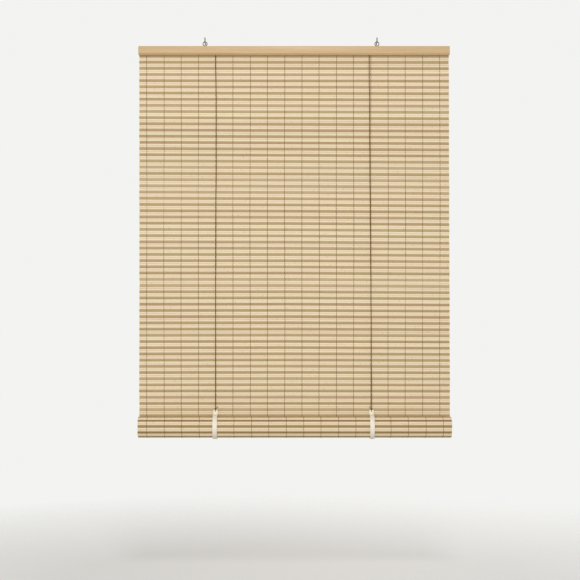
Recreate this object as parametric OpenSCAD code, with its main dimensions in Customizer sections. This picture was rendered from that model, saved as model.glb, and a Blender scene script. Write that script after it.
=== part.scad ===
// Bamboo roll-up blind, hung from two screw hooks and held half raised by two clips.
// +Z is up and the front faces -Y. The origin is midway between the hook shanks, on the wall plane.

/* [Headrail] */
// Length of the headrail
rail_len = 914; // [700:1:1200]
// Height of the headrail
rail_h = 25.4; // [20:0.1:40]
// Depth of the headrail from front to back
rail_depth = 19; // [16:0.5:30]
// Size of the chamfer along the lower front edge
rail_chamfer = 5; // [2:0.5:8]
// Rounding of the other long edges
rail_edge_r = 2; // [0.5:0.1:3]
// Distance from the wall plane to the back of the headrail
rail_standoff = 12; // [9:0.5:16]
// Sideways offset of the headrail from the middle of the hooks
rail_x = 9; // [-20:0.5:20]

/* [Slats] */
// Amount by which the slats are shorter than the headrail
slat_short = 1; // [-4:0.5:10]
// Mean spacing of the slats along the mat
slat_pitch = 6.09; // [5:0.01:8]
// Amount by which a dark slat, the first of every three, is wider on each side
dark_extra = 0.42; // [0:0.01:0.6]
// Thickness of a slat at its middle
slat_thick = 2.8; // [2:0.1:3.4]
// Thickness of the mat where two slats touch
seam_thick = 0.8; // [0.4:0.1:1.2]
// Slats from the top of the mat to the roll
hanging_count = 183; // [90:3:240]
// Slats wound up in the roll
rolled_count = 118; // [60:1:160]
// Sideways offset of the slats from the middle of the headrail
slat_shift = 1; // [-5:0.5:5]
// Distance from the top of the headrail down to the top of the mat
mat_lap_drop = 5.5; // [2:0.1:12]

/* [Roll] */
// Clear gap between the turns of the roll
turn_gap = 1.2; // [1.2:0.05:3]
// Centreline radius of the innermost turn
core_turn_r = 8; // [7:0.1:16]
// Height of the roll's axis over the end of the hanging slats
feed_drop = 3.5; // [2:0.1:5]

/* [Warp threads] */
// Number of warp threads
thread_count = 18; // [8:1:22]
// Distance from the left end of the slats to the first warp thread
thread_inset = 21.5; // [10:0.1:40]
// Distance from the last warp thread to the right end of the slats
thread_end_inset = 27.9; // [10:0.1:40]
// Width of a warp thread
thread_w = 1.2; // [0.6:0.1:2]
// Thickness of a warp thread
thread_thick = 0.5; // [0.3:0.1:0.6]
// Sideways shift of the warp threads on the roll
thread_wander = 5; // [0:0.5:8]
// Share of the outer turn that the threads show on
thread_wrap = 0.9; // [0.5:0.01:0.92]

/* [Hooks and eyes] */
// Distance between the two hooks
hook_spacing = 505; // [300:1:600]
// Radius of the hook wire
hook_wire_r = 1.4; // [1:0.1:2]
// Distance from the eye to the upright arm of its hook
hook_arm_clear = 6; // [5:0.5:12]
// Height of the arm's tip over the shank
hook_arm_h = 14.5; // [8:0.5:25]
// Bend radius of a hook, at the middle of the wire
hook_bend_r = 3; // [2.5:0.1:3.5]
// Length of a hook's screw in the wall
hook_screw_len = 16; // [10:1:30]
// Depth of the screw's root under the surface of the wire
hook_root_depth = 0.2; // [0.1:0.05:0.3]
// Radius of an eye's ring, at the middle of the wire
eye_ring_r = 6; // [4:0.1:10]
// Radius of the eye wire
eye_wire_r = 1.1; // [0.8:0.1:1.6]
// Depth of an eye's screw in the headrail
eye_screw_len = 14; // [8:0.5:18]

/* [Clips] */
// Width of a clip
clip_w = 13; // [8:0.5:20]
// Thickness of a clip
clip_thick = 1.4; // [1:0.1:2.5]
// Height of a clip's tab over the top of its arc
clip_tab_h = 13; // [12:0.5:20]
// Distance of a clip's upright tab behind the roll's axis
clip_tab_back = 23; // [16:0.5:24]
// Fillet between the arc and the tab of a clip
clip_fillet_r = 9; // [4:0.5:12]
// Angle that a clip reaches round behind the bottom of the roll
clip_hook_angle = 40; // [15:1:55]
// Radius of the bead along the lower end of a clip
clip_bead_r = 1.1; // [0.9:0.1:1.6]
// Place of the left clip, from the middle of the hooks
left_clip_x = -222; // [-300:0.5:-150]
// Place of the right clip, from the middle of the hooks
right_clip_x = 237; // [150:0.5:300]

/* [Cords] */
// Diameter of a lift cord
cord_d = 2.4; // [1.6:0.1:3]
// Radius of a cord's knot
knot_r = 2.6; // [2:0.1:3.5]
// Depth that a stop knot sinks in the top of the headrail
knot_sink = 4.2; // [3:0.1:6]
// Place of the left cord's hole in the headrail
left_cord_x = -222; // [-240:0.5:-205]
// Place of the right cord's hole in the headrail
right_cord_x = 230; // [218:0.5:240]

/* [Staples] */
// Width of a staple
staple_w = 10; // [6:0.5:14]
// Height of a staple's flat wire
staple_h = 1.2; // [0.8:0.1:2]
// Thickness of a staple's flat wire
staple_thick = 0.6; // [0.4:0.1:0.8]
// Depth of a staple's legs in the headrail
staple_leg = 6; // [3:0.5:9]

/* [Hidden] */
$fn = 48;
rest_gap = 0.1;
running_gap = 0.3;
thread_gap = 0.05;
through = 1;

// Rail and eyes, from the shank axis downwards
eye_z = hook_wire_r + rest_gap - (eye_ring_r - eye_wire_r);
eye_seat_gap = 0.4;
eye_shank_r = eye_wire_r - rest_gap;
rail_top_z = eye_z - eye_ring_r - eye_wire_r - eye_seat_gap;
rail_bottom_z = rail_top_z - rail_h;
rail_back_y = -rail_standoff;
rail_mid_y = rail_back_y - rail_depth / 2;
rail_front_y = rail_back_y - rail_depth;
left_x = -hook_spacing / 2;
right_x = hook_spacing / 2;
hook_reach = hook_arm_clear - rail_mid_y;
hook_screw_r = hook_wire_r - hook_root_depth;
hook_taper = 3 * hook_wire_r;
hook_point_r = hook_wire_r / 5;
hook_tip_r = 0.6 * hook_wire_r;
hook_tip_h = hook_wire_r / 2;

// Mat, hanging down the back of the rail
slat_len = rail_len - slat_short;
slat_x = rail_x + slat_shift;
slat_bulge = (slat_thick - seam_thick) / 2;
dark_w = slat_pitch + 2 * dark_extra;
light_w = slat_pitch - dark_extra;
slat_widths = [dark_w, light_w, light_w];
slat_starts = [-dark_extra, dark_extra, 0];
mat_gap = thread_thick + 2 * thread_gap;
mat_y = rail_back_y + mat_gap + slat_thick / 2;
mat_top_z = rail_top_z - mat_lap_drop;
mat_end_z = mat_top_z - hanging_count * slat_pitch;
staple_z = mat_top_z - slat_start(1) - slat_width(1) / 2;
thread_end_gap = 1;
thread_pitch = (slat_len - thread_inset - thread_end_inset) / (thread_count - 1);

// Roll, wound towards the front from the back, under and up
turn_pitch = slat_thick + turn_gap;
rolled_len = rolled_count * slat_pitch;
feed_len = feed_drop + slat_tip(dark_w) + slat_tip(light_w) + running_gap;
roll_r = sqrt(pow(core_turn_r, 2) + turn_pitch * (rolled_len + feed_len) / PI);
roll_y = mat_y - roll_r;
roll_z = mat_end_z + feed_drop;
core_sag = pow(dark_w, 2) / (8 * core_turn_r);
core_rod_r = core_turn_r - slat_thick / 2 - core_sag - running_gap;

// Clips, clear of the turning roll and its threads
clip_in_r = roll_r + slat_thick / 2 + thread_gap + thread_thick + running_gap;
clip_out_r = clip_in_r + clip_thick;
clip_mid_r = clip_in_r + clip_thick / 2;
clip_top_h = clip_out_r + clip_tab_h;
clip_tab_foot = sqrt(pow(clip_mid_r, 2) - pow(clip_tab_back, 2));
clip_start_angle = atan2(clip_tab_foot, clip_tab_back);
clip_end_angle = 270 + clip_hook_angle;
fillet_sink = 0.1;
tie_wire_r = cord_d / 2 - rest_gap;
tie_hole_r = tie_wire_r + running_gap;
tie_strip_h = 2.2;
tie_ring_r = tie_hole_r + tie_strip_h / 2;
tie_hole_h = clip_top_h - tie_strip_h - tie_hole_r;
tie_ring_h = tie_hole_h + tie_ring_r;
knot_bite = 0.7;
knot_h = tie_ring_h + tie_ring_r + knot_r - knot_bite;

// Lift cords, from the knot on top of the rail to the knot over each clip
cord_y = -18;
cord_hole_r = cord_d / 2 + running_gap;
knot_seat_r = knot_r + running_gap;
left_route = [
    [-222, -18, -15], [-222, -18, -37], [-222, -18, -60], [-221, -18, -100], [-220, -18, -160],
    [-220, -18, -220], [-220, -18, -280], [-220, -18, -340], [-220, -18, -400], [-221, -18, -460],
    [-221, -18, -520], [-221, -18, -580], [-221, -18, -640], [-222, -18, -700], [-222, -18, -760],
    [-222, -18, -820], [-222, -18, -880], [-222, -18, -940], [-222, -18, -1000], [-222, -18, -1073]
];
right_route = [
    [230, -18, -15], [230, -18, -37], [230, -18, -60], [230, -18, -100], [231, -18, -160],
    [231, -18, -220], [231, -18, -280], [232, -18, -340], [232, -18, -400], [233, -18, -460],
    [233, -18, -520], [234, -18, -580], [234, -18, -640], [235, -18, -700], [235, -18, -760],
    [236, -18, -820], [236, -18, -880], [236, -18, -940], [237, -18, -1000], [237, -18, -1073]
];

// Place and width of a slat along the mat
function slat_start(i) = i * slat_pitch + slat_starts[i % 3];
function slat_width(i) = slat_widths[i % 3];
// Radius of a slat's faces, and how far it reaches past the seam, by its width
function slat_arc_r(width) = (pow(width / 2, 2) + pow(slat_bulge, 2)) / (2 * slat_bulge);
function slat_tip(width) =
    let (r = slat_arc_r(width)) sqrt(pow(r, 2) - pow(r - slat_thick / 2, 2)) - width / 2;

function two_digits(i) = i < 10 ? str("0", i) : str(i);
function thread_name(i) = str("warp_thread_", two_digits(i + 1));
function thread_x(i) = slat_x - slat_len / 2 + thread_inset + i * thread_pitch;

// Point on the roll's centreline, in degrees round from the back and under, as [y, z] from the axis
function turn_r(angle) = roll_r - turn_pitch * angle / 360;
function turn_point(angle) = turn_r(angle) * [cos(angle), -sin(angle)];
// Angle reached after a length of mat has been wound on
function wound_angle(s) =
    360 / turn_pitch * (roll_r - sqrt(pow(roll_r, 2) - turn_pitch * s / PI));
function slat_edge(i) = turn_point(wound_angle(feed_len + slat_start(i)));
function slat_centre(i) = (slat_edge(i) + slat_edge(i + 1)) / 2;
function slat_tilt(i) =
    let (d = slat_edge(i + 1) - slat_edge(i)) atan2(d[1], d[0]);
// Point at a height over the outer face of a rolled slat
function over_slat(i, height) =
    let (a = slat_tilt(i) + 90, h = slat_thick / 2 + height) slat_centre(i) + h * [cos(a), sin(a)];

// Sweeps a section drawn in Y and Z along X
module along_x(length, x) {
    translate([x - length / 2, 0, 0]) rotate([90, 0, 90]) linear_extrude(length) children();
}

// Oval section of one slat, with its width along the first axis
module slat_section(width) {
    r = slat_arc_r(width);
    intersection() {
        translate([0, r - slat_thick / 2]) circle(r);
        translate([0, slat_thick / 2 - r]) circle(r);
    }
}

module rail_section() {
    difference() {
        translate([rail_front_y, rail_bottom_z]) square([rail_depth, rail_h]);
        chamfer_cut();
        edge_cut(rail_front_y, rail_top_z, 1, -1, rail_edge_r);
        edge_cut(rail_back_y, rail_top_z, -1, -1, rail_edge_r);
        edge_cut(rail_back_y, rail_bottom_z, -1, 1, rail_edge_r);
    }
}

// What the chamfer takes off the lower front corner
module chamfer_cut() {
    reach = rail_chamfer + through;
    translate([rail_front_y, rail_bottom_z])
        polygon([[-through, -through], [reach, -through], [-through, reach]]);
}

// What a rounding takes off a corner, where sy and sz point into the section
module edge_cut(y, z, sy, sz, r) {
    difference() {
        translate([y - (sy < 0 ? r : 0.5 * r), z - (sz < 0 ? r : 0.5 * r)]) square(1.5 * r);
        translate([y + sy * r, z + sz * r]) circle(r);
    }
}

module headrail() {
    color("burlywood") difference() {
        along_x(rail_len, rail_x) rail_section();
        for (x = [left_x, right_x])
            translate([x, rail_mid_y, rail_top_z - eye_screw_len - running_gap])
                cylinder(r = eye_shank_r + rest_gap, h = eye_screw_len + running_gap + through);
        for (x = [left_cord_x, right_cord_x]) {
            translate([x, cord_y, rail_bottom_z - through])
                cylinder(r = cord_hole_r, h = rail_h + 2 * through);
            translate([x, cord_y, rail_top_z - knot_sink]) cylinder(r = knot_seat_r, h = knot_sink + through);
        }
    }
}

module screw_eye(x) {
    color("darkkhaki") translate([x, rail_mid_y, eye_z]) {
        rotate([90, 0, 0]) rotate_extrude() translate([eye_ring_r, 0]) circle(eye_wire_r);
        translate([0, 0, rail_top_z - eye_z - eye_screw_len])
            cylinder(r = eye_shank_r, h = eye_screw_len + eye_seat_gap + eye_wire_r);
    }
}

// Square-bend hook: a pointed screw, a level shank, a quarter bend and an upright arm
module hook(x) {
    arm_h = hook_arm_h - hook_bend_r - hook_tip_h;
    color("silver") translate([x, 0, 0]) {
        translate([0, hook_bend_r - hook_reach, 0]) rotate([-90, 0, 0])
            cylinder(r = hook_wire_r, h = hook_reach - hook_bend_r);
        rotate([-90, 0, 0]) cylinder(r = hook_screw_r, h = hook_screw_len - hook_taper);
        translate([0, hook_screw_len - hook_taper, 0]) rotate([-90, 0, 0])
            cylinder(r1 = hook_screw_r, r2 = hook_point_r, h = hook_taper);
        translate([0, hook_bend_r - hook_reach, hook_bend_r]) rotate([90, 0, -90])
            rotate([0, 0, -90]) rotate_extrude(angle = 90) translate([hook_bend_r, 0]) circle(hook_wire_r);
        translate([0, -hook_reach, hook_bend_r]) cylinder(r = hook_wire_r, h = arm_h);
        translate([0, -hook_reach, hook_bend_r + arm_h])
            cylinder(r1 = hook_wire_r, r2 = hook_tip_r, h = hook_tip_h);
    }
}

// Staples through the second slat into the headrail, one in every other space between threads
module mat_staples() {
    back_y = mat_y + slat_thick / 2;
    leg_y = rail_back_y - staple_leg;
    color("silver") for (i = [0 : 2 : thread_count - 2])
        translate([thread_x(i) + thread_pitch / 2, 0, staple_z - staple_h / 2]) {
            translate([-staple_w / 2, back_y, 0]) cube([staple_w, staple_thick, staple_h]);
            for (x = [-staple_w / 2, staple_w / 2 - staple_thick])
                translate([x, leg_y, 0]) cube([staple_thick, back_y + staple_thick - leg_y, staple_h]);
        }
}

module hanging_slats() {
    color("wheat") along_x(slat_len, slat_x)
        for (i = [0 : hanging_count - 1])
            translate([mat_y, mat_top_z - slat_start(i) - slat_width(i) / 2])
                rotate(90) slat_section(slat_width(i));
}

module rolled_slats() {
    color("wheat") along_x(slat_len, slat_x)
        translate([roll_y, roll_z]) for (i = [0 : rolled_count - 1])
            translate(slat_centre(i)) rotate(slat_tilt(i)) slat_section(slat_width(i));
}

// Threads over the outer turn, from the end of the mat round to the nip behind the roll
module rolled_threads() {
    last = floor(2 * PI * (roll_r - turn_pitch / 2) * thread_wrap / slat_pitch);
    band = concat(
        [for (i = [0 : last]) over_slat(i, thread_gap)],
        [for (i = [last : -1 : 0]) over_slat(i, thread_gap + thread_thick)]
    );
    color("peru") for (i = [0 : thread_count - 1])
        along_x(thread_w, thread_x(i) + thread_wander) translate([roll_y, roll_z]) polygon(band);
}

module core_rod() {
    color("tan") translate([slat_x - slat_len / 2, roll_y, roll_z]) rotate([0, 90, 0])
        cylinder(r = core_rod_r, h = slat_len);
}

// One thread down the front of the mat and up its back, turned over the top slat
module warp_thread(i) {
    half = slat_thick / 2 + thread_gap;
    top_z = mat_top_z + dark_extra + slat_tip(dark_w) + thread_gap + thread_thick;
    end_z = mat_end_z + thread_end_gap;
    color("peru") along_x(thread_w, thread_x(i)) difference() {
        translate([mat_y - half - thread_thick, end_z]) square([2 * (half + thread_thick), top_z - end_z]);
        translate([mat_y - half, end_z - through]) square([2 * half, top_z - thread_thick - end_z + through]);
    }
}

// Round tube through a list of points that runs mostly downwards
module cord_tube(route) {
    sides = 8;
    rings = len(route);
    points = [
        for (p = route, k = [0 : sides - 1])
            p + cord_d / 2 * [cos(k * 360 / sides), sin(k * 360 / sides), 0]
    ];
    side_faces = [
        for (i = [0 : rings - 2], k = [0 : sides - 1])
            let (n = (k + 1) % sides)
            [i * sides + k, i * sides + n, (i + 1) * sides + n, (i + 1) * sides + k]
    ];
    top_face = [for (k = [sides - 1 : -1 : 0]) k];
    end_face = [for (k = [0 : sides - 1]) (rings - 1) * sides + k];
    polyhedron(points, concat([top_face], side_faces, [end_face]));
}

module lift_cord(route) {
    color("saddlebrown") cord_tube(route);
}

// Stop knot in its seat on top of the headrail
module top_knot(x) {
    color("saddlebrown") translate([x, cord_y, rail_top_z - knot_sink + running_gap + knot_r])
        sphere(knot_r);
}

// Loop through the clip's hole, closed by a knot over its top edge
module clip_knot(x) {
    color("saddlebrown") translate([x, roll_y + clip_tab_back, roll_z]) {
        translate([0, 0, tie_ring_h]) rotate([0, 90, 0])
            rotate_extrude() translate([tie_ring_r, 0]) circle(tie_wire_r);
        translate([0, 0, knot_h]) sphere(knot_r);
    }
}

function arc_points(centre, r, from, to) =
    [for (k = [0 : 12]) let (a = from + k * (to - from) / 12) centre + r * [cos(a), sin(a)]];

// Pie slice that the arc of a clip is cut from
module clip_sector() {
    intersection() {
        circle(clip_out_r);
        polygon(concat([[0, 0]], arc_points([0, 0], 1.5 * clip_out_r, clip_start_angle, clip_end_angle)));
    }
}

// Hollow corner between the top of the arc and the front of the tab, let into both
module clip_fillet(tab_front) {
    centre_y = tab_front - clip_fillet_r + fillet_sink;
    centre_z = sqrt(pow(clip_out_r + clip_fillet_r - fillet_sink, 2) - pow(centre_y, 2));
    touch_angle = atan2(-centre_z, -centre_y);
    root_y = tab_front + fillet_sink;
    root_z = sqrt(pow(clip_mid_r, 2) - pow(root_y, 2));
    polygon(concat(arc_points([centre_y, centre_z], clip_fillet_r, touch_angle, 0), [[root_y, root_z]]));
}

// An arc over the roll with a beaded end behind it, and an upright tab with a hole for the cord
module clip(x) {
    tab_front = clip_tab_back - clip_thick / 2;
    bead = clip_mid_r * [cos(clip_end_angle), sin(clip_end_angle)];
    color("ivory") translate([0, roll_y, roll_z]) difference() {
        union() {
            along_x(clip_w, x) clip_sector();
            along_x(clip_w, x) translate(bead) circle(clip_bead_r);
            along_x(clip_w, x) translate([tab_front, clip_tab_foot])
                square([clip_thick, clip_top_h - clip_tab_foot]);
            along_x(clip_w, x) clip_fillet(tab_front);
        }
        along_x(clip_w + 2 * through, x) circle(clip_in_r);
        translate([x, clip_tab_back - clip_thick, tie_hole_h]) rotate([-90, 0, 0])
            cylinder(r = tie_hole_r, h = 2 * clip_thick);
    }
}

headrail();
screw_eye(left_x);  // left_screw_eye
screw_eye(right_x);  // right_screw_eye
hook(left_x);  // left_hook
hook(right_x);  // right_hook
mat_staples();
hanging_slats();
rolled_slats();
rolled_threads();
core_rod();
for (i = [0 : thread_count - 1])
    warp_thread(i);
lift_cord(left_route);  // left_cord
lift_cord(right_route);  // right_cord
top_knot(left_cord_x);  // left_top_knot
top_knot(right_cord_x);  // right_top_knot
clip(left_clip_x);  // left_clip
clip(right_clip_x);  // right_clip
clip_knot(left_clip_x);  // left_knot
clip_knot(right_clip_x);  // right_knot
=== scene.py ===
"""The looks of a bamboo roll-up blind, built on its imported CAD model. Lengths are in metres."""

import math

import bmesh
import bpy
import numpy as np
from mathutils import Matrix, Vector


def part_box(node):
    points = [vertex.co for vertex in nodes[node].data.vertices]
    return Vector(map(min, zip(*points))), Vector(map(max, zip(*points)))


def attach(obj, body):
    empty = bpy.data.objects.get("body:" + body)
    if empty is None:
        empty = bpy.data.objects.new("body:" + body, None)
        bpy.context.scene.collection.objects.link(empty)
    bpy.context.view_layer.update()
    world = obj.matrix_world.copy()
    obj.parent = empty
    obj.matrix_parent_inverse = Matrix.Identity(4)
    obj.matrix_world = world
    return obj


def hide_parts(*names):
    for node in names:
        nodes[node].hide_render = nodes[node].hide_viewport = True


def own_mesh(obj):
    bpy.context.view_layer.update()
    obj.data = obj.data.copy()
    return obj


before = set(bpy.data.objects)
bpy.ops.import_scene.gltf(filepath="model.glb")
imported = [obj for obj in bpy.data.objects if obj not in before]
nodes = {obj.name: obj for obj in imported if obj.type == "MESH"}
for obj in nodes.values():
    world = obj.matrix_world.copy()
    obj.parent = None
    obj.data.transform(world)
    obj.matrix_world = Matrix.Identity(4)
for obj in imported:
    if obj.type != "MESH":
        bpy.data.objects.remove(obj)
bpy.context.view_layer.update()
rng = np.random.default_rng(7)

MM = 0.001
LEFT_RIGHT = ("left", "right")

# Slats
SLAT_PITCH = 6.09 * MM
SLAT_THICK = 2.8 * MM
SLAT_OVERLAP = 0.12 * MM
SLAT_FULLNESS = 2.3
SLAT_SIDES = 14
SLAT_STATIONS = 24
SLAT_END_R = 1.2 * MM
SLAT_END_STEPS = ((0.0, 0.8), (0.3, 0.95), (1.0, 1.0))
SLAT_END_JITTER = 0.7 * MM
SLAT_TILT = math.radians(1.6)
SLAT_NOISE_STEP = 3.7
HANGING_COUNT = 183
TOP_COUNT = 13
ROLLED_COUNT = 118
DARK_EVERY = 3
DARK_EXTRA = 0.42 * MM

# Tones of the slats: 0 is light and 1 is dark; more than 1 is painted shade, which makes the wound dark
# slats darker than the same slats hanging
HANGING_DARK_TONE = 0.86
ROLLED_DARK_SHADED_TONE = 1.25
DARK_FADE = -0.16
LIGHT_DEEPEN = 0.14

# The way the mat hangs: its right side droops, and its left side rises in a long and a short wave
MAT_LAP_DROP = 5.5 * MM
MAT_DROOP_RIGHT = 3.1 * MM
MAT_RISE_LEFT = (1.0 * MM, 1.2 * MM)
RIGHT_END_DRIFT = 1.8 * MM
MAT_SWAY = 0.35 * MM
SWAY_WAVES = (5.3, 2.1)
SWAY_TURN = 9
SWAY_LAG = 0.7

# Roll
TURN_PITCH = 4.0 * MM
FEED_LEN = 4.8 * MM
OUTER_TURN_SLATS = 32
CORE_END_EASE = 0.8 * MM
CORE_SIDES = 40

# Bamboo, with its noise stretched along, round and between the slats
FINE_FIBRE = (6, 3000, 1)
BROAD_FIBRE = (2, 420, 1)
TINT_DRIFT = (11, 0, 1)
TINT_SPREAD = 2.4
JOINTS_PER_METRE = 2.9
JOINT_SHIFT = 7.0
JOINT_EDGE = (0.001, 0.004)
JOINT_SHADE = (0.86, 0.77, 0.64, 1.0)

# Plain wood, with its noise stretched along the grain
WOOD_FIGURE = (2.2, 70, 70)
WOOD_PORES = (25, 1400, 1400)

# Warp threads, each of two yarns that swap sides between the slats
THREAD_COUNT = 18
YARN_HALF_W = 0.72 * MM
YARN_PINCH_W = 0.32 * MM
YARN_HALF_T = 0.26 * MM
YARN_SIDES = 6
YARN_STATIONS = (0.0, 0.1, 0.26, 0.5, 0.74, 0.9)
YARN_SIDESTEP = 0.3 * MM
YARN_WANDER = 0.8 * MM
WANDER_STATIONS = 131
WANDER_PHASE = 40
WANDER_SPREAD = 90

# Lift cords, laid from three strands whose sizes are shares of the cord's radius
CORD_D = 2.4 * MM
CORD_LAY = 7 * MM
CORD_RING_STEP = 0.7 * MM
CORD_RINGS_MIN = 8
CORD_SIDES = 12
STRAND_COUNT = 3
STRAND_R = 0.464
STRAND_VALLEY = 0.66
LEFT_ROUTE_MM = [
    (-222, -18, -15), (-222, -18, -37), (-222, -18, -60), (-221, -18, -100), (-220, -18, -160),
    (-220, -18, -220), (-220, -18, -280), (-220, -18, -340), (-220, -18, -400), (-221, -18, -460),
    (-221, -18, -520), (-221, -18, -580), (-221, -18, -640), (-222, -18, -700), (-222, -18, -760),
    (-222, -18, -820), (-222, -18, -880), (-222, -18, -940), (-222, -18, -1000), (-222, -18, -1073),
]
RIGHT_ROUTE_MM = [
    (230, -18, -15), (230, -18, -37), (230, -18, -60), (230, -18, -100), (231, -18, -160),
    (231, -18, -220), (231, -18, -280), (232, -18, -340), (232, -18, -400), (233, -18, -460),
    (233, -18, -520), (234, -18, -580), (234, -18, -640), (235, -18, -700), (235, -18, -760),
    (236, -18, -820), (236, -18, -880), (236, -18, -940), (237, -18, -1000), (237, -18, -1073),
]

# Knots, in half widths of their nodes
STOP_LOOP = 0.72
STOP_LOOP_D = 0.7
STOP_TAIL_D = 0.8
TIED_LOOP = 0.8
TIED_LOOP_D = 0.75
TIED_TAIL = 3.4

# Cord where it is tied to its clip, as shares of the cord's thickness, and the lean of its loose end
DRAWN_CORD = 0.9
LOOSE_END = 0.8
KNOT_LEAN = 0.7
RING_STEPS = 60

# Headrail and the bores in it
RAIL_CHAMFER = 5 * MM
RAIL_CHAMFER_R = 0.8 * MM
RAIL_EDGE_R = 2 * MM
RAIL_END_EASE = 0.6 * MM
EYE_BORE_R = 1.1 * MM
EYE_BORE_DEPTH = 14.3 * MM
CORD_BORE_R = 1.5 * MM
CORD_BORE_DEPTH = 27 * MM
KNOT_SEAT_R = 2.9 * MM
KNOT_SEAT_DEPTH = 4.2 * MM
KNOT_SEAT_FLARE = 0.4 * MM
CUT_PAST = 1 * MM

# Eased end of a bar: shares of the ease along it, and in from its surface
EASE_STEPS = ((0.0, 1.0), (0.3, 0.3), (1.0, 0.0))

# Clips
CLIP_EDGE_W = 0.3 * MM
CLIP_EDGE_STEPS = 3
CLIP_EDGE_ANGLE = math.radians(40)
CLIP_FLAT_ANGLE = math.radians(0.5)
WELD_DISTANCE = 0.001 * MM

# Screw thread on the hooks
SCREW_PITCH = 1.3 * MM
SCREW_STEPS = 24
SCREW_START = 2 * MM
SCREW_TIP_GAP = 0.6 * MM
SCREW_ROOT_CUT = 0.2 * MM
SCREW_TAPER_RADII = 3
SCREW_TIP_SHARE = 0.2
SCREW_DEPTH = 0.45 * MM
SCREW_RUN_IN = 1.2 * MM
SCREW_LEAST_DEPTH = 0.05
SCREW_SINK = 0.1 * MM
SCREW_FOOT_HALF = 0.42 * MM
SCREW_CREST_HALF = 0.06 * MM

# Staples, one between every other pair of threads
STAPLE_W = 10 * MM
STAPLE_WIRE = 0.6 * MM
STAPLE_HALF_H = 0.6 * MM
STAPLE_BEND_R = 0.8 * MM
STAPLE_BEND_STEPS = 6

# Camera, floor and light; a lamp has a name, a place, a width and a power in watts
SENSOR_MM = 36
LENS_MM = 96.9
CAMERA_PLACE = (-0.0029, -4.61, -0.7267)
FLOOR_R = 2.2
FLOOR_Z = -1.6
FLOOR_SIDES = 64
FLOOR_FADE = (0.7, 2.1)
AMBIENT_COLOUR = (1.0, 0.985, 0.96, 1.0)
AMBIENT_STRENGTH = 0.4
LIGHT_TARGET = (0, 0, -0.6)
LAMPS = (
    ("key", (-0.4, -4.3, -0.2), 2.6, 82),
    ("top", (0.2, -3.6, 1.95), 0.8, 30),
    ("back", (0.8, 3.4, 0.2), 1.8, 40),
)

# Places taken from the frame
slats_low, slats_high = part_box("hanging_slats")
rail_low, rail_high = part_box("headrail")
core_low, core_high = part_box("core_rod")
half_mat = (slats_high.x - slats_low.x) / 2
mat_y = (slats_low.y + slats_high.y) / 2
mat_top = rail_high.z - MAT_LAP_DROP
axis_y = (core_low.y + core_high.y) / 2
axis_z = (core_low.z + core_high.z) / 2
roll_r = mat_y - axis_y


def middle_x(node):
    """The middle of a node's box, from left to right."""
    low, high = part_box(node)
    return (low.x + high.x) / 2


# Shader helpers

def srgb(red, green, blue):
    """Linear colour, with alpha, of an sRGB colour given as 0 to 255."""
    def linear(value):
        value = value / 255
        return value / 12.92 if value <= 0.04045 else ((value + 0.055) / 1.055) ** 2.4
    return (linear(red), linear(green), linear(blue), 1.0)


def grey(level):
    """Linear grey, with alpha."""
    return (level, level, level, 1.0)


def add_node(tree, kind, inputs=None, **settings):
    """A new node with its settings made and its inputs set or linked."""
    node = tree.nodes.new(kind)
    for name, value in settings.items():
        setattr(node, name, value)
    for key, value in (inputs or {}).items():
        if isinstance(value, bpy.types.NodeSocket):
            tree.links.new(value, node.inputs[key])
        else:
            node.inputs[key].default_value = value
    return node


def new_material(name, **values):
    """A material, its node tree and its shader, with constant values set on the shader."""
    material = bpy.data.materials.new(name)
    material.use_nodes = True
    shader = material.node_tree.nodes["Principled BSDF"]
    for key, value in values.items():
        shader.inputs[key.replace("_", " ")].default_value = value
    return material, material.node_tree, shader


def feed(tree, shader, **sockets):
    """Links sockets to the shader's inputs."""
    for key, socket in sockets.items():
        tree.links.new(socket, shader.inputs[key.replace("_", " ")])


def attribute(tree, name, output):
    """A value that the mesh carries."""
    return add_node(tree, "ShaderNodeAttribute", attribute_name=name).outputs[output]


def object_space(tree):
    """Place in the object's own space."""
    return add_node(tree, "ShaderNodeTexCoord").outputs["Object"]


def stretch(tree, vector, scale):
    """A vector with its three parts scaled."""
    return add_node(tree, "ShaderNodeVectorMath", {0: vector, 1: scale}, operation="MULTIPLY").outputs[0]


def noise(tree, vector, scale=1.0, detail=2.0, roughness=0.5, distortion=0.0):
    """Noise from 0 to 1."""
    values = {"Vector": vector, "Scale": scale, "Detail": detail, "Roughness": roughness,
              "Distortion": distortion}
    return add_node(tree, "ShaderNodeTexNoise", values).outputs[0]


def maths(tree, operation, *values):
    """The result of a maths node."""
    return add_node(tree, "ShaderNodeMath", dict(enumerate(values)), operation=operation).outputs[0]


def span(tree, value, first, last, start=0.0, end=1.0):
    """A value mapped from start...end to first...last."""
    node = add_node(tree, "ShaderNodeMapRange", {0: value, 1: start, 2: end, 3: first, 4: last})
    return node.outputs[0]


def ramp(tree, factor, *stops):
    """Colour that runs through (place, colour) stops."""
    node = add_node(tree, "ShaderNodeValToRGB", {0: factor})
    elements = node.color_ramp.elements
    while len(elements) < len(stops):
        elements.new(0.5)
    for element, (place, colour) in zip(elements, stops):
        element.position = place
        element.color = colour
    return node.outputs[0]


def shade(tree, factor, low, high=1.0, start=0.25, end=0.75):
    """Grey between two levels, to multiply a colour by."""
    return ramp(tree, factor, (start, grey(low)), (end, grey(high)))


def blend(tree, factor, first, second, mode="MIX"):
    """Two colours put together by a factor."""
    inputs = {0: factor, 6: first, 7: second}
    return add_node(tree, "ShaderNodeMix", inputs, data_type="RGBA", blend_type=mode).outputs[2]


def times(tree, colour, level):
    """A colour multiplied by a level or another colour."""
    return blend(tree, 1.0, colour, level, "MULTIPLY")


def bump(tree, shader, height, strength, depth):
    """Gives the shader fine relief."""
    node = add_node(tree, "ShaderNodeBump", {"Height": height, "Strength": strength, "Distance": depth})
    feed(tree, shader, Normal=node.outputs[0])


# Materials

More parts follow.
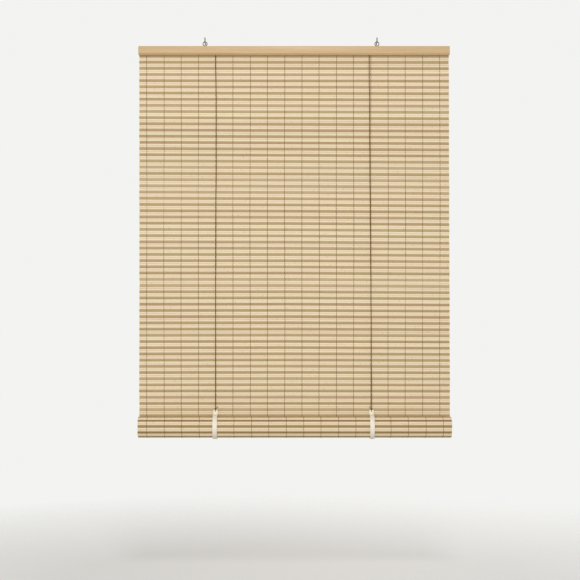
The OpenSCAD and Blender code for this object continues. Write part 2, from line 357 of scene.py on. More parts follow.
def bamboo():
    """Split bamboo with fine fibres along each slat, faint joints, and a tone and tint of its own, with
    painted shade on the wound dark slats.
    """
    material, tree, shader = new_material("bamboo", Specular_IOR_Level=0.35)
    fibre = attribute(tree, "fibre", "Vector")
    seed = attribute(tree, "slat_seed", "Fac")
    tone = attribute(tree, "tone", "Fac")
    fine = noise(tree, stretch(tree, fibre, FINE_FIBRE), detail=3.0, roughness=0.6)
    broad = noise(tree, stretch(tree, fibre, BROAD_FIBRE))
    drift = noise(tree, stretch(tree, fibre, TINT_DRIFT))
    tint = maths(tree, "MULTIPLY_ADD", maths(tree, "SUBTRACT", drift, 0.5), TINT_SPREAD, seed)
    light = blend(tree, tint, srgb(252, 236, 199), srgb(252, 229, 197))
    dark = blend(tree, tint, srgb(176, 149, 92), srgb(176, 141, 93))
    colour = blend(tree, tone, light, dark)
    # painted shade: tones above 1, which only the wound dark slats carry, darken the colour further
    colour = times(tree, colour, span(tree, tone, 1.0, 0.8, start=1.0, end=ROLLED_DARK_SHADED_TONE))
    colour = times(tree, colour, shade(tree, fine, low=0.87))
    colour = times(tree, colour, shade(tree, broad, low=0.92))
    along = add_node(tree, "ShaderNodeSeparateXYZ", {0: fibre}).outputs[0]
    shift = maths(tree, "MULTIPLY", seed, JOINT_SHIFT)
    cell = maths(tree, "FRACT", maths(tree, "MULTIPLY_ADD", along, JOINTS_PER_METRE, shift))
    off_joint = maths(tree, "ABSOLUTE", maths(tree, "SUBTRACT", cell, 0.5))
    joint = span(tree, off_joint, 1.0, 0.0, *JOINT_EDGE)
    colour = times(tree, colour, ramp(tree, joint, (0.0, grey(1.0)), (1.0, JOINT_SHADE)))
    feed(tree, shader, Base_Color=colour, Roughness=span(tree, fine, 0.42, 0.6))
    bump(tree, shader, maths(tree, "MULTIPLY_ADD", joint, 0.6, fine), strength=0.4, depth=0.15 * MM)
    return material


def lengthwise_wood(name, light, dark, roughness):
    """Plain wood with its grain along X."""
    material, tree, shader = new_material(name, Specular_IOR_Level=0.4)
    place = object_space(tree)
    figure = noise(tree, stretch(tree, place, WOOD_FIGURE), detail=3.0, roughness=0.55, distortion=1.4)
    pores = noise(tree, stretch(tree, place, WOOD_PORES))
    colour = ramp(tree, figure, (0.3, light), (0.7, dark))
    colour = times(tree, colour, shade(tree, pores, low=0.9, start=0.3, end=0.6))
    feed(tree, shader, Base_Color=colour, Roughness=span(tree, figure, roughness - 0.06, roughness + 0.1))
    bump(tree, shader, pores, strength=0.18, depth=0.12 * MM)
    return material


def yarn(name, light, dark, twist):
    """Spun cotton: dark and light plies that turn round the strand, with a little fuzz."""
    material, tree, shader = new_material(name, Roughness=0.85, Sheen_Weight=0.05, Specular_IOR_Level=0.2)
    strand = attribute(tree, "strand", "Vector")
    parts = add_node(tree, "ShaderNodeSeparateXYZ", {0: strand}).outputs
    turn = maths(tree, "MULTIPLY_ADD", parts[0], math.tau / twist, parts[1])
    ply = span(tree, maths(tree, "SINE", turn), 0.0, 1.0, start=-1.0, end=1.0)
    fuzz = noise(tree, strand, scale=900.0, detail=3.0, roughness=0.7)
    worn = noise(tree, strand, scale=30.0)
    colour = blend(tree, ply, dark, light)
    colour = times(tree, colour, shade(tree, fuzz, low=0.78, high=1.05))
    colour = times(tree, colour, shade(tree, worn, low=0.88))
    feed(tree, shader, Base_Color=colour)
    bump(tree, shader, maths(tree, "MULTIPLY_ADD", fuzz, 0.5, ply), strength=0.5, depth=0.12 * MM)
    return material


def clip_plastic():
    """Moulded off-white plastic with faint clouding and a soft matt surface."""
    material, tree, shader = new_material("clip_plastic", Specular_IOR_Level=0.4)
    place = object_space(tree)
    cloud = noise(tree, place, scale=160.0, detail=4.0, roughness=0.6)
    speck = noise(tree, place, scale=2600.0)
    colour = ramp(tree, cloud, (0.3, srgb(240, 228, 206)), (0.7, srgb(251, 244, 229)))
    feed(tree, shader, Base_Color=colour, Roughness=span(tree, cloud, 0.42, 0.58))
    bump(tree, shader, speck, strength=0.12, depth=0.08 * MM)
    return material


def metal(name, light, dark, roughness):
    """Plated wire with patchy tarnish and fine drawing marks."""
    material, tree, shader = new_material(name, Metallic=1.0, Specular_Tint=grey(0.4))
    place = object_space(tree)
    patch = noise(tree, place, scale=420.0, detail=4.0, roughness=0.65)
    mark = noise(tree, place, scale=3500.0)
    colour = ramp(tree, patch, (0.35, dark), (0.65, light))
    feed(tree, shader, Base_Color=colour, Roughness=span(tree, patch, roughness + 0.12, roughness - 0.06))
    bump(tree, shader, mark, strength=0.15, depth=0.05 * MM)
    return material


BAMBOO = bamboo()
RAIL_WOOD = lengthwise_wood("rail_wood", srgb(221, 191, 146), srgb(209, 176, 130), 0.45)
CORE_WOOD = lengthwise_wood("core_wood", srgb(212, 182, 138), srgb(190, 156, 110), 0.6)
WARP_COTTON = yarn("warp_cotton", srgb(156, 109, 48), srgb(114, 75, 27), 2.2 * MM)
CORD_COTTON = yarn("cord_cotton", srgb(140, 106, 46), srgb(102, 75, 29), 1.6 * MM)
CLIP_PLASTIC = clip_plastic()
HOOK_ZINC = metal("hook_zinc", srgb(66, 66, 64), srgb(38, 38, 37), 0.4)
EYE_BRASS = metal("eye_brass", srgb(94, 78, 47), srgb(54, 44, 26), 0.42)
STAPLE_STEEL = metal("staple_steel", srgb(206, 206, 206), srgb(160, 160, 160), 0.25)


# Mesh helpers

def round_angles(count):
    """Even angles once round a circle."""
    return np.arange(count) * math.tau / count


def lengths_along(path):
    """Length of a path up to each of its points."""
    steps = np.linalg.norm(np.diff(path, axis=0), axis=1)
    return np.concatenate([[0.0], np.cumsum(steps)])


def directions(path):
    """Unit vectors along a path at each of its points."""
    way = np.gradient(path, axis=0)
    return way / np.linalg.norm(way, axis=1)[:, None]


def normals(line):
    """Unit vectors at right angles to a line of points in a plane."""
    way = directions(line)
    return np.stack([-way[:, 1], way[:, 0]], axis=1)


def skin(rings):
    """Points and faces of a closed skin over rows of rings, capped at both ends of each row."""
    rows, count, sides = rings.shape[:3]
    index = np.arange(rows * count * sides).reshape(rows, count, sides)
    after = np.roll(index, -1, axis=2)
    quads = np.stack([index[:, :-1], after[:, :-1], after[:, 1:], index[:, 1:]], axis=-1)
    caps = index[:, 0, ::-1].tolist() + index[:, -1].tolist()
    return rings.reshape(-1, 3), quads.reshape(-1, 4).tolist() + caps


def lathe(profile, sides=32):
    """Points and faces of a solid turned about Z from (radius, height) points."""
    angle = round_angles(sides)
    rings = np.array([[(r * math.cos(a), r * math.sin(a), z) for a in angle] for r, z in profile])
    return skin(rings[None])


def eased_ends(start, end, ease):
    """Places along a bar whose ends are eased, and how far in from its surface each one is."""
    steps = [(ease * along, ease * inset) for along, inset in EASE_STEPS]
    first = [(start + along, inset) for along, inset in steps]
    last = [(end - along, inset) for along, inset in reversed(steps)]
    return first + last


def solid_mesh(name, points, faces):
    """A mesh with its outside facing out."""
    mesh = bpy.data.meshes.new(name)
    mesh.from_pydata([tuple(p) for p in points], [], faces)
    work = bmesh.new()
    work.from_mesh(mesh)
    bmesh.ops.recalc_face_normals(work, faces=work.faces)
    work.to_mesh(mesh)
    work.free()
    return mesh


def weld(mesh, flat_angle=None):
    """Joins doubled points and drops faces with no area, or joins faces that are flat within an angle."""
    work = bmesh.new()
    work.from_mesh(mesh)
    bmesh.ops.remove_doubles(work, verts=work.verts, dist=WELD_DISTANCE)
    if flat_angle is None:
        bmesh.ops.dissolve_degenerate(work, dist=WELD_DISTANCE, edges=work.edges)
    else:
        bmesh.ops.dissolve_limit(work, angle_limit=flat_angle, verts=work.verts, edges=work.edges)
    work.to_mesh(mesh)
    work.free()


def smooth(mesh, sharp=None):
    """Shades a mesh smoothly, apart from edges sharper than an angle in degrees."""
    mesh.shade_smooth()
    if sharp is not None:
        mesh.set_sharp_from_angle(angle=math.radians(sharp))


def add_object(name, data):
    """A new object in the scene."""
    item = bpy.data.objects.new(name, data)
    bpy.context.scene.collection.objects.link(item)
    return item


def finish_piece(name, mesh, material, body, sharp=None):
    """A mesh made into a piece that rides on a body."""
    mesh.materials.clear()
    mesh.materials.append(material)
    smooth(mesh, sharp)
    piece = add_object(name, mesh)
    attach(piece, body)
    return piece


def add_piece(name, points, faces, material, body, slot, sharp=None, **attributes):
    """A piece from points and faces, with a value or a vector at each point for its material."""
    mesh = solid_mesh(name, points, faces)
    for key, values in attributes.items():
        values = np.asarray(values, np.float32)
        kind, field = ("FLOAT", "value") if values.ndim == 1 else ("FLOAT_VECTOR", "vector")
        mesh.attributes.new(key, kind, "POINT").data.foreach_set(field, values.ravel())
    return finish_piece(name, mesh, material, body, sharp)


def apply_modifiers(piece):
    """Makes a piece's modifiers real in its mesh."""
    bpy.context.view_layer.update()
    evaluated = piece.evaluated_get(bpy.context.evaluated_depsgraph_get())
    mesh = bpy.data.meshes.new_from_object(evaluated)
    piece.modifiers.clear()
    piece.data = mesh


def cut(piece, holes):
    """Cuts solids, each given as points and faces, out of a piece."""
    for points, faces in holes:
        tool = add_object("hole", solid_mesh("hole", points, faces))
        modifier = piece.modifiers.new("hole", "BOOLEAN")
        modifier.operation = "DIFFERENCE"
        modifier.object = tool
        apply_modifiers(piece)
        bpy.data.objects.remove(tool)


def shorten(piece):
    """Gives the piece a mesh of its own."""
    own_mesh(piece)


# The mat: slats that hang, and slats that are wound on the roll

def slat_span(i):
    """Start and width of a slat along the mat: a dark one is a little wider than the two after it."""
    place = i % DARK_EVERY
    start = i * SLAT_PITCH + (-DARK_EXTRA, DARK_EXTRA, 0.0)[place]
    width = SLAT_PITCH + (2 * DARK_EXTRA, -DARK_EXTRA, -DARK_EXTRA)[place]
    return start, width


def slat_section(width):
    """Oval section: places across the slat and out of its face."""
    angle = round_angles(SLAT_SIDES)
    power = 2 / SLAT_FULLNESS
    across = (width + SLAT_OVERLAP) / 2 * np.sign(np.cos(angle)) * np.abs(np.cos(angle)) ** power
    out = SLAT_THICK / 2 * np.sign(np.sin(angle)) * np.abs(np.sin(angle)) ** power
    return across, out


def slat_stations(left, right):
    """Places along a slat and how full its section is there, rounded off at both ends."""
    start = [(left + SLAT_END_R * share, size) for share, size in SLAT_END_STEPS]
    finish = [(right - SLAT_END_R * share, size) for share, size in reversed(SLAT_END_STEPS)]
    middle = np.linspace(start[-1][0], finish[0][0], SLAT_STATIONS + 2)[1:-1]
    return np.array(start + [(x, 1.0) for x in middle] + finish)


def slat_rings(centre, width, tilt, left, right, sway):
    """Rings of one slat; centre is (y, z), and tilt turns its width from +Y towards +Z."""
    across, out = slat_section(width)
    stations = slat_stations(left, right)
    turned = tilt + rng.normal(0, SLAT_TILT)
    wide = np.array([math.cos(turned), math.sin(turned)])
    normal = np.array([-wide[1], wide[0]])
    section = across[:, None] * wide + out[:, None] * normal
    face = np.array([-math.sin(tilt), math.cos(tilt)])
    offset = sway(stations[:, 0])[:, None] * face
    rings = np.zeros((len(stations), SLAT_SIDES, 3))
    rings[..., 0] = stations[:, 0, None]
    rings[..., 1:] = centre + offset[:, None] + stations[:, 1, None, None] * section
    return rings


def slat_ends(share):
    """Left and right end of a slat, by its share of the way down the mat."""
    left = slats_low.x + rng.normal(0, SLAT_END_JITTER / 2)
    right = slats_high.x + RIGHT_END_DRIFT * (2 * share - 1) + rng.normal(0, SLAT_END_JITTER / 2)
    return left, right


def mat_droop(x, share):
    """How far the mat at x hangs below its middle, by the share of the way down."""
    right = MAT_DROOP_RIGHT * math.sin(math.pi * share)
    left = MAT_RISE_LEFT[0] * math.sin(math.pi * share) + MAT_RISE_LEFT[1] * math.sin(math.tau * share)
    return x / half_mat * np.where(x > 0, right, left)


def hanging_slat(i):
    """Rings of a slat in the flat part of the mat, and whether it is dark."""
    share = (i + 0.5) / HANGING_COUNT
    depth = MAT_SWAY * math.sin(math.pi * share)
    phase = SWAY_TURN * share

    def sway(x):
        return depth * np.sin(SWAY_WAVES[0] * x + phase) * np.cos(SWAY_WAVES[1] * x - SWAY_LAG * phase)

    left, right = slat_ends(share)
    start, width = slat_span(i)
    centre = np.array([mat_y, mat_top - start - width / 2])
    rings = slat_rings(centre, width, -math.pi / 2, left, right, sway)
    rings[..., 2] -= mat_droop(rings[..., 0], share)
    return rings, i % DARK_EVERY == 0


def turn_point(angle):
    """Point (y, z) on the middle of the wound mat, at an angle round from the back and under."""
    radius = roll_r - TURN_PITCH * angle / math.tau
    return np.array([axis_y + radius * math.cos(angle), axis_z - radius * math.sin(angle)])


def wound_point(length):
    """Point (y, z) on the wound mat, by the length that is wound on before it."""
    left_over = roll_r ** 2 - TURN_PITCH * (FEED_LEN + length) / math.pi
    return turn_point(math.tau / TURN_PITCH * (roll_r - math.sqrt(left_over)))


def wound_edges(i):
    """The two edges (y, z) of a wound slat."""
    start, width = slat_span(i)
    return wound_point(start), wound_point(start + width)


def rolled_slat(i):
    """Rings of a slat on the roll, and whether it is dark."""
    first, second = wound_edges(i)
    way = second - first
    width = np.linalg.norm(way)
    tilt = math.atan2(way[1], way[0])
    left, right = slat_ends(1.0)
    rings = slat_rings((first + second) / 2, width, tilt, left, right, np.zeros_like)
    return rings, i % DARK_EVERY == 0


def slat_piece(name, slats, body, dark_tone):
    """One piece from a list of (rings, dark) slats, with the tone of its dark ones."""
    each_rings, each_dark = zip(*slats)
    rings = np.array(each_rings)
    points, faces = skin(rings)
    across, out = slat_section(SLAT_PITCH)
    fibre = np.zeros(rings.shape)
    fibre[..., 0] = rings[..., 0]
    fibre[..., 1] = lengths_along(np.stack([across, out], axis=1))
    fibre[..., 2] = (np.arange(len(slats)) * SLAT_NOISE_STEP)[:, None, None]
    seed = np.broadcast_to(rng.random(len(slats))[:, None, None], rings.shape[:3])
    # a dark tone above 1, as on the wound slats, is painted shade
    base_tone = np.where(each_dark, dark_tone, 0.0)
    shift = np.where(each_dark, DARK_FADE, LIGHT_DEEPEN) * rng.random(len(slats)) ** 2
    tone = np.broadcast_to((base_tone + shift)[:, None, None], rings.shape[:3])
    return add_piece(name, points, faces, BAMBOO, body, "bamboo", sharp=50,
                     fibre=fibre.reshape(-1, 3), slat_seed=seed.ravel(), tone=tone.ravel())


def make_mat():
    """The hanging slats, split into a top few and the rest, and the wound slats."""
    hanging = [hanging_slat(i) for i in range(HANGING_COUNT)]
    slat_piece("hanging_slats_top", hanging[:TOP_COUNT], "hung_blind", HANGING_DARK_TONE)
    lower = slat_piece("hanging_slats_lower", hanging[TOP_COUNT:], "hung_blind", HANGING_DARK_TONE)
    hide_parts("hanging_slats")
    shorten(lower)
    wound = [rolled_slat(i) for i in range(ROLLED_COUNT)]
    # the wound dark slats carry painted shade through their deeper tone
    rolled = slat_piece("rolled_slats_turns", wound, "roll", ROLLED_DARK_SHADED_TONE)
    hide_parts("rolled_slats")


# Warp threads

def strand_coordinates(rings):
    """Length along the tube and angle round it, for the yarn materials."""
    grid = np.zeros(rings.shape)
    grid[..., 0] = lengths_along(rings.mean(axis=1))[:, None]
    grid[..., 1] = round_angles(rings.shape[1])
    return grid.reshape(-1, 3)


def hanging_place(i, share, height, x):
    """Point (y, z) of a thread at a share of a hanging slat and a height over the mat's middle."""
    start, width = slat_span(i)
    droop = mat_droop(x, (i + 0.5) / HANGING_COUNT)
    return mat_y - height, mat_top - start - share * width - droop


def rolled_place(i, share, height, x):
    """Point (y, z) of a thread at a share of a wound slat, the same at every x."""
    first, second = wound_edges(i)
    way = (second - first) / np.linalg.norm(second - first)
    return first + share * (second - first) + height * np.array([-way[1], way[0]])


def yarn_rings(first, count, x, which, place):
    """One yarn of a thread over some slats; place gives its (y, z) by slat, share, height and x."""
    path = []
    half_w = []
    for i in range(first, first + count):
        side = 1 if (i + which) % 2 == 0 else -1
        for share in YARN_STATIONS:
            lift = math.sqrt(math.sin(math.pi * share))
            path.append(place(i, share, side * lift * (SLAT_THICK / 2 + YARN_HALF_T), x))
            half_w.append(YARN_PINCH_W + (YARN_HALF_W - YARN_PINCH_W) * lift)
    path = np.array(path)
    wave = np.sin(np.arange(len(path)) / WANDER_STATIONS + WANDER_PHASE * x)
    wander = YARN_WANDER * wave * math.sin(WANDER_SPREAD * x)
    middle = x + wander + (which - 0.5) * 2 * YARN_SIDESTEP
    angle = round_angles(YARN_SIDES)
    rings = np.zeros((len(path), YARN_SIDES, 3))
    rings[..., 0] = middle[:, None] + np.array(half_w)[:, None] * np.cos(angle)
    rings[..., 1:] = path[:, None] + YARN_HALF_T * np.sin(angle)[None, :, None] * normals(path)[:, None]
    return rings


def thread_rings(first, count, x, place):
    """Both yarns of a thread over some slats."""
    return [yarn_rings(first, count, x, which, place) for which in (0, 1)]


def yarn_piece(name, yarns, body):
    """A piece of warp thread from the rings of its yarns."""
    points, faces = skin(np.array(yarns))
    strand = np.concatenate([strand_coordinates(r) for r in yarns])
    return add_piece(name, points, faces, WARP_COTTON, body, "warp_cotton", strand=strand)


def make_threads():
    """The threads on the hanging slats, in two parts as the slats are, and on the roll's outer turn."""
    on_roll = []
    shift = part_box("rolled_threads")[0].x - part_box("warp_thread_01")[0].x
    for i in range(THREAD_COUNT):
        node = f"warp_thread_{i + 1:02d}"
        x = middle_x(node)
        yarn_piece(f"{node}_top", thread_rings(0, TOP_COUNT, x, hanging_place), "hung_blind")
        rest = thread_rings(TOP_COUNT, HANGING_COUNT - TOP_COUNT, x, hanging_place)
        lower = yarn_piece(f"{node}_lower", rest, "hung_blind")
        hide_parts(node)
        shorten(lower)
        on_roll += thread_rings(0, OUTER_TURN_SLATS, x + shift, rolled_place)
    wound = yarn_piece("rolled_thread_turns", on_roll, "roll")
    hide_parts("rolled_threads")


# Lift cords and their knots

def rope_radius(angle):
    """Share of a rope's radius at an angle round it, with the crown of a strand at 0."""
    off = 1 - STRAND_R
    apart = math.tau / STRAND_COUNT
    from_crown = np.abs((angle + apart / 2) % apart - apart / 2)
    reach = STRAND_R ** 2 - (off * np.sin(from_crown)) ** 2
    return np.maximum(STRAND_VALLEY, off * np.cos(from_crown) + np.sqrt(np.maximum(reach, 0)))


def ring_ways(path, sides):
    """Unit vectors from each point of a path to a ring round it, carried along without twisting."""
    tangent = directions(path)
    angle = round_angles(sides)
    across = np.cross(tangent[0], (0, 1, 0))
    ways = []
    for along in tangent:
        across = across - along * across.dot(along)
        across /= np.linalg.norm(across)
        other = np.cross(along, across)
        ways.append(np.outer(np.cos(angle), across) + np.outer(np.sin(angle), other))
    return np.array(ways)


def rope_rings(path, diameter):
    """Laid rope along a path, with its strands turning as they go."""
    path = np.asarray(path, float)
    place = lengths_along(path)
    even = np.linspace(0, place[-1], max(CORD_RINGS_MIN, int(place[-1] / CORD_RING_STEP)))
    path = np.stack([np.interp(even, place, path[:, k]) for k in range(3)], axis=1)
    turn = math.tau * even[:, None] / CORD_LAY
    radius = diameter / 2 * rope_radius(round_angles(CORD_SIDES)[None] - turn)
    return path[:, None] + radius[..., None] * ring_ways(path, CORD_SIDES)


def rope_piece(name, ropes, body):
    """One piece from several runs of rope."""
    points = []
    faces = []
    for rings in ropes:
        run_points, run_faces = skin(rings[None])
        faces += [[len(points) + k for k in face] for face in run_faces]
        points += list(run_points)
    strand = np.concatenate([strand_coordinates(rings) for rings in ropes])
    return add_piece(name, points, faces, CORD_COTTON, body, "cord_cotton", strand=strand)


def trefoil(centre, size, steps=90):
    """A closed overhand loop round a centre, drawn tight."""
    t = np.linspace(0, math.tau, steps)
    across = np.sin(t) + 2 * np.sin(2 * t)
    depth = 1.2 * np.sin(3 * t)
    up = np.cos(t) - 2 * np.cos(2 * t)
    return np.asarray(centre) + size / 3 * np.stack([across, depth, up], axis=1)


def tail(start, way, bend, length, steps=12):
    """A short loose end that bends as it leaves the knot."""
    t = np.linspace(0, 1, steps)[:, None]
    return np.asarray(start) + length * (t * np.asarray(way) + t ** 2 * np.asarray(bend))


def make_cord(side, route_mm, knots):
    """A taut cord from its stop knot in the rail to its clip."""
    route = [tuple(MM * value for value in point) for point in route_mm]
    cord = rope_piece(f"{side}_lift_cord", [rope_rings(route, CORD_D)], "hung_blind")
    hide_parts(f"{side}_cord")
    shorten(cord)


def make_top_knot(side):
    """The stop knot that holds a cord in the rail: a tight loop with a loose end."""
    low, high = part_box(f"{side}_top_knot")
    centre = (low + high) / 2
    size = (high.x - low.x) / 2
    loop = trefoil(centre, STOP_LOOP * size)
    loose = tail(centre, way=(0.5, 0.2, 0.4), bend=(0.3, 0.1, 0.0), length=size)
    ropes = [rope_rings(loop, STOP_LOOP_D * size), rope_rings(loose, STOP_TAIL_D * size)]
    knot = rope_piece(f"{side}_stop_knot", ropes, "hung_blind")
    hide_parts(f"{side}_top_knot")
    return knot


def make_clip_knot(side, lean):
    """The knot at a clip: a ring of cord through the clip's hole, a tight loop over it and a loose end."""
    low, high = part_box(f"{side}_knot")
    middle = (low + high) / 2
    size = (high.x - low.x) / 2
    thick = DRAWN_CORD * CORD_D
    ring_r = (high.y - low.y - thick) / 2
    ring_z = low.z + ring_r + thick / 2
    turn = np.linspace(0, math.tau, RING_STEPS)
    across = np.full(RING_STEPS, middle.x)
    ring = np.stack([across, middle.y + ring_r * np.sin(turn), ring_z + ring_r * np.cos(turn)], axis=1)
    centre = (middle.x, middle.y, high.z - size)
    loop = trefoil(centre, TIED_LOOP * size)
    loose = tail(centre, way=(lean, -0.5, 0.6), bend=(0.2 * lean, 0.0, 0.1), length=TIED_TAIL * size)
    ropes = [
        rope_rings(ring, thick),
        rope_rings(loop, TIED_LOOP_D * size),
        rope_rings(loose, LOOSE_END * thick),
    ]
    knot = rope_piece(f"{side}_tied_knot", ropes, "clips")
    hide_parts(f"{side}_knot")
    return knot


# Headrail, core rod, clips and metal

def rounded_outline(corners, steps=8):
    """Points round a convex outline that is given as (y, z, radius) corners."""
    points = np.array([corner[:2] for corner in corners])
    outline = []
    for k, here in enumerate(points):
        radius = corners[k][2]
        back = points[k - 1] - here
        back /= np.linalg.norm(back)
        on = points[(k + 1) % len(points)] - here
        on /= np.linalg.norm(on)
        half = math.acos(back.dot(on)) / 2
        centre = here + radius / math.sin(half) * (back + on) / np.linalg.norm(back + on)
        first = here + radius / math.tan(half) * back - centre
        last = here + radius / math.tan(half) * on - centre
        for share in np.linspace(0, 1, steps):
            way = first + share * (last - first)
            outline.append(centre + radius * way / np.linalg.norm(way))
    return np.array(outline)


def rail_bore(node, profile):
    """A bore down from the rail's top over a node, from (radius, height) points."""
    low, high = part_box(node)
    points, faces = lathe(profile)
    return points + np.array([middle_x(node), (low.y + high.y) / 2, rail_high.z]), faces


def make_rail():
    """Rail with a chamfered lower front edge, eased ends, and bored for the eyes and cords."""
    outline = rounded_outline([
        (rail_low.y, rail_low.z + RAIL_CHAMFER, RAIL_CHAMFER_R),
        (rail_low.y + RAIL_CHAMFER, rail_low.z, RAIL_CHAMFER_R),
        (rail_high.y, rail_low.z, RAIL_EDGE_R),
        (rail_high.y, rail_high.z, RAIL_EDGE_R),
        (rail_low.y, rail_high.z, RAIL_EDGE_R),
    ])
    middle = (outline.min(axis=0) + outline.max(axis=0)) / 2
    half = (outline.max(axis=0) - outline.min(axis=0)) / 2
    rings = []
    for x, inset in eased_ends(rail_low.x, rail_high.x, RAIL_END_EASE):
        section = middle + (outline - middle) * (1 - inset / half)
        rings.append(np.column_stack([np.full(len(section), x), section]))
    rail = add_piece("rail", *skin(np.array([rings])), RAIL_WOOD, "hung_blind", "rail_wood")
    eye_bore = [(EYE_BORE_R, -EYE_BORE_DEPTH), (EYE_BORE_R, CUT_PAST)]
    mouth_r = KNOT_SEAT_R + KNOT_SEAT_FLARE
    cord_bore = [
        (CORD_BORE_R, -CORD_BORE_DEPTH), (CORD_BORE_R, -KNOT_SEAT_DEPTH), (KNOT_SEAT_R, -KNOT_SEAT_DEPTH),
        (KNOT_SEAT_R, -KNOT_SEAT_FLARE), (mouth_r, 0.0), (mouth_r, CUT_PAST),
    ]
    cut(rail, [rail_bore(f"{side}_screw_eye", eye_bore) for side in LEFT_RIGHT])
    cut(rail, [rail_bore(f"{side}_top_knot", cord_bore) for side in LEFT_RIGHT])
    smooth(rail.data, sharp=32)
    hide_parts("headrail")


def make_core():
    """The round rod in the middle of the roll, with eased ends."""
    radius = (core_high.z - core_low.z) / 2
    ends = eased_ends(0, core_high.x - core_low.x, CORE_END_EASE)
    points, faces = lathe([(radius - inset, along) for along, inset in ends], CORE_SIDES)
    lying = np.column_stack([core_low.x + points[:, 2], axis_y + points[:, 0], axis_z + points[:, 1]])
    core = add_piece("core_dowel", lying, faces, CORE_WOOD, "roll", "core_wood", sharp=40)
    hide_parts("core_rod")


def make_clip(side):
    """The clip with its moulded edges rounded over."""
    mesh = nodes[f"{side}_clip"].data.copy()
    weld(mesh, CLIP_FLAT_ANGLE)
    clip = finish_piece(f"{side}_moulded_clip", mesh, CLIP_PLASTIC, "clips")
    rounding = clip.modifiers.new("edges", "BEVEL")
    rounding.width = CLIP_EDGE_W
    rounding.segments = CLIP_EDGE_STEPS
    rounding.limit_method = "ANGLE"
    rounding.angle_limit = CLIP_EDGE_ANGLE
    apply_modifiers(clip)
    weld(clip.data)
    smooth(clip.data, sharp=35)
    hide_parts(f"{side}_clip")


def make_hook_thread(side):
    """The cut thread on the screw end of a hook, which lies along Y at height 0."""
    low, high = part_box(f"{side}_hook")
    shank_r = (high.x - low.x) / 2
    finish = high.y - SCREW_TIP_GAP
    steps = int((finish - SCREW_START) / SCREW_PITCH * SCREW_STEPS)
    y = np.linspace(SCREW_START, finish, steps)
    turn = (y - SCREW_START) / SCREW_PITCH * math.tau
    taper = np.clip((high.y - y) / (SCREW_TAPER_RADII * shank_r), SCREW_TIP_SHARE, 1)
    root_r = (shank_r - SCREW_ROOT_CUT) * taper
    run_in = np.minimum(y - SCREW_START, finish - y) / SCREW_RUN_IN
    depth = SCREW_DEPTH * np.clip(run_in, SCREW_LEAST_DEPTH, 1)
    x = middle_x(f"{side}_hook")
    axis = np.array([0, 1, 0])
    rings = []
    for place, angle, r, d in zip(y, turn, root_r, depth):
        way = np.array([math.cos(angle), 0, math.sin(angle)])
        foot = np.array([x, place, 0]) + way * (r - SCREW_SINK)
        crest = foot + way * (d + SCREW_SINK)
        rings.append([foot - SCREW_FOOT_HALF * axis, crest - SCREW_CREST_HALF * axis,
                      crest + SCREW_CREST_HALF * axis, foot + SCREW_FOOT_HALF * axis])
    points, faces = skin(np.array([rings]))
    add_piece(f"{side}_hook_thread", points, faces, HOOK_ZINC, "hung_blind", "hook_zinc", sharp=40)


def staple_line(x, front, back):
    """Points (x, y) along a staple's wire, from its left tip round two bends to its right tip."""
    reach = STAPLE_W / 2 - STAPLE_WIRE / 2
    bend = []
    for angle in np.radians(np.linspace(0, 90, STAPLE_BEND_STEPS)):
        bend.append((x + reach - STAPLE_BEND_R + STAPLE_BEND_R * math.sin(angle),
                     back - STAPLE_BEND_R + STAPLE_BEND_R * math.cos(angle)))
    mirrored = [(2 * x - px, py) for px, py in reversed(bend)]
    return np.array([(x - reach, front)] + mirrored + bend + [(x + reach, front)])


def make_staples():
    """Bent flat-wire staples, one for each solid in the frame's group."""
    low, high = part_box("mat_staples")
    middle_z = (low.z + high.z) / 2
    first_x = middle_x("warp_thread_01")
    last_x = middle_x(f"warp_thread_{THREAD_COUNT:02d}")
    spacing = (last_x - first_x) / (THREAD_COUNT - 1)
    rows = []
    for i in range(0, THREAD_COUNT - 1, 2):
        line = staple_line(first_x + (i + 0.5) * spacing, low.y, high.y - STAPLE_WIRE / 2)
        side = STAPLE_WIRE / 2 * normals(line)
        top = middle_z + STAPLE_HALF_H
        bottom = middle_z - STAPLE_HALF_H
        corners = [(side, top), (side, bottom), (-side, bottom), (-side, top)]
        edges = [np.column_stack([line + out, np.full(len(line), z)]) for out, z in corners]
        rows.append(np.stack(edges, axis=1))
    points, faces = skin(np.array(rows))
    staples = add_piece("wire_staples", points, faces, STAPLE_STEEL, "hung_blind", "staple_steel", sharp=50)
    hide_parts("mat_staples")


def dress_metal():
    """Gives the hooks and eyes, whose CAD meshes stay, their metals."""
    for side in LEFT_RIGHT:
        for node, material in ((f"{side}_hook", HOOK_ZINC), (f"{side}_screw_eye", EYE_BRASS)):
            nodes[node].data.materials.clear()
            nodes[node].data.materials.append(material)


# Camera, floor and light

def make_camera():
    """A level view from the room, square on to the blind."""
    data = bpy.data.cameras.new("camera")
    data.sensor_width = SENSOR_MM
    data.lens = LENS_MM
    camera = add_object("camera", data)
    camera.location = CAMERA_PLACE
    camera.rotation_euler = (math.pi / 2, 0, 0)
    bpy.context.scene.camera = camera


def seen_directly(tree):
    """1 where the camera sees a surface, also by reflection or through glass, and 0 for bounced light."""
    path = add_node(tree, "ShaderNodeLightPath").outputs
    seen = maths(tree, "MAXIMUM", path["Is Camera Ray"], path["Is Glossy Ray"])
    return maths(tree, "MAXIMUM", seen, path["Is Transmission Ray"])


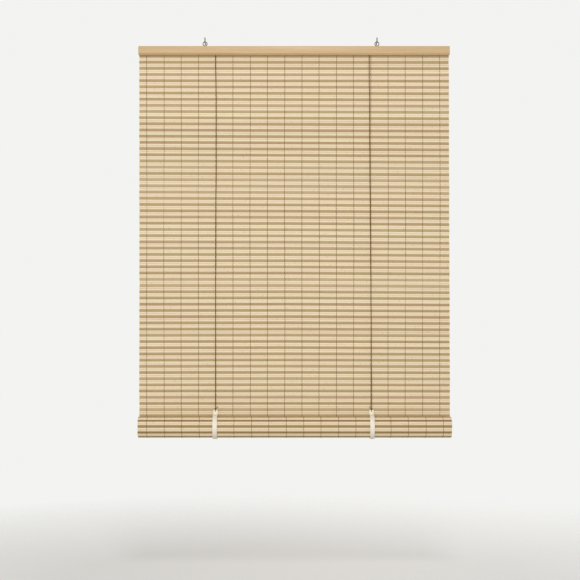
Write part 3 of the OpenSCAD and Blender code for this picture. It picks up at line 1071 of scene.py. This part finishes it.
def make_floor():
    """A pale round floor that fades out at its rim and bounces little light up."""
    material, tree, shader = new_material("floor", Roughness=0.8)
    colour = blend(tree, seen_directly(tree), srgb(208, 206, 202), srgb(246, 245, 242))
    level = stretch(tree, object_space(tree), (1, 1, 0))
    distance = add_node(tree, "ShaderNodeVectorMath", {0: level}, operation="LENGTH").outputs["Value"]
    feed(tree, shader, Base_Color=colour, Alpha=span(tree, distance, 1.0, 0.0, *FLOOR_FADE))
    rim = [(FLOOR_R * math.cos(a), FLOOR_R * math.sin(a), FLOOR_Z) for a in round_angles(FLOOR_SIDES)]
    mesh = bpy.data.meshes.new("floor")
    mesh.from_pydata(rim, [], [list(range(FLOOR_SIDES))])
    mesh.materials.append(material)
    floor = add_object("floor", mesh)


def make_world():
    """Even ambient light, seen by the camera and in reflections as a pale backdrop."""
    world = bpy.data.worlds.new("studio")
    bpy.context.scene.world = world
    world.use_nodes = True
    tree = world.node_tree
    tree.nodes.clear()
    ambient = add_node(tree, "ShaderNodeBackground", {0: AMBIENT_COLOUR, 1: AMBIENT_STRENGTH}).outputs[0]
    backdrop = add_node(tree, "ShaderNodeBackground", {0: srgb(243, 243, 241), 1: 1.0}).outputs[0]
    inputs = {0: seen_directly(tree), 1: ambient, 2: backdrop}
    mixed = add_node(tree, "ShaderNodeMixShader", inputs).outputs[0]
    add_node(tree, "ShaderNodeOutputWorld", {0: mixed})


def make_light(name, place, size, power):
    """A round lamp that points at the blind."""
    data = bpy.data.lights.new(name, "AREA")
    data.shape = "DISK"
    data.size = size
    data.energy = power
    lamp = add_object(name, data)
    lamp.location = place
    lamp.rotation_euler = (Vector(LIGHT_TARGET) - Vector(place)).to_track_quat("-Z", "Y").to_euler()


def make_studio():
    """Floor, world and lamps."""
    make_floor()
    make_world()
    for lamp in LAMPS:
        make_light(*lamp)
    bpy.context.scene.view_settings.view_transform = "Standard"


make_camera()
for side, route, lean in (("left", LEFT_ROUTE_MM, KNOT_LEAN), ("right", RIGHT_ROUTE_MM, -KNOT_LEAN)):
    make_cord(side, route, [make_top_knot(side), make_clip_knot(side, lean)])
make_mat()
make_threads()
make_rail()
make_core()
make_staples()
for side in LEFT_RIGHT:
    make_clip(side)
    make_hook_thread(side)
dress_metal()
make_studio()
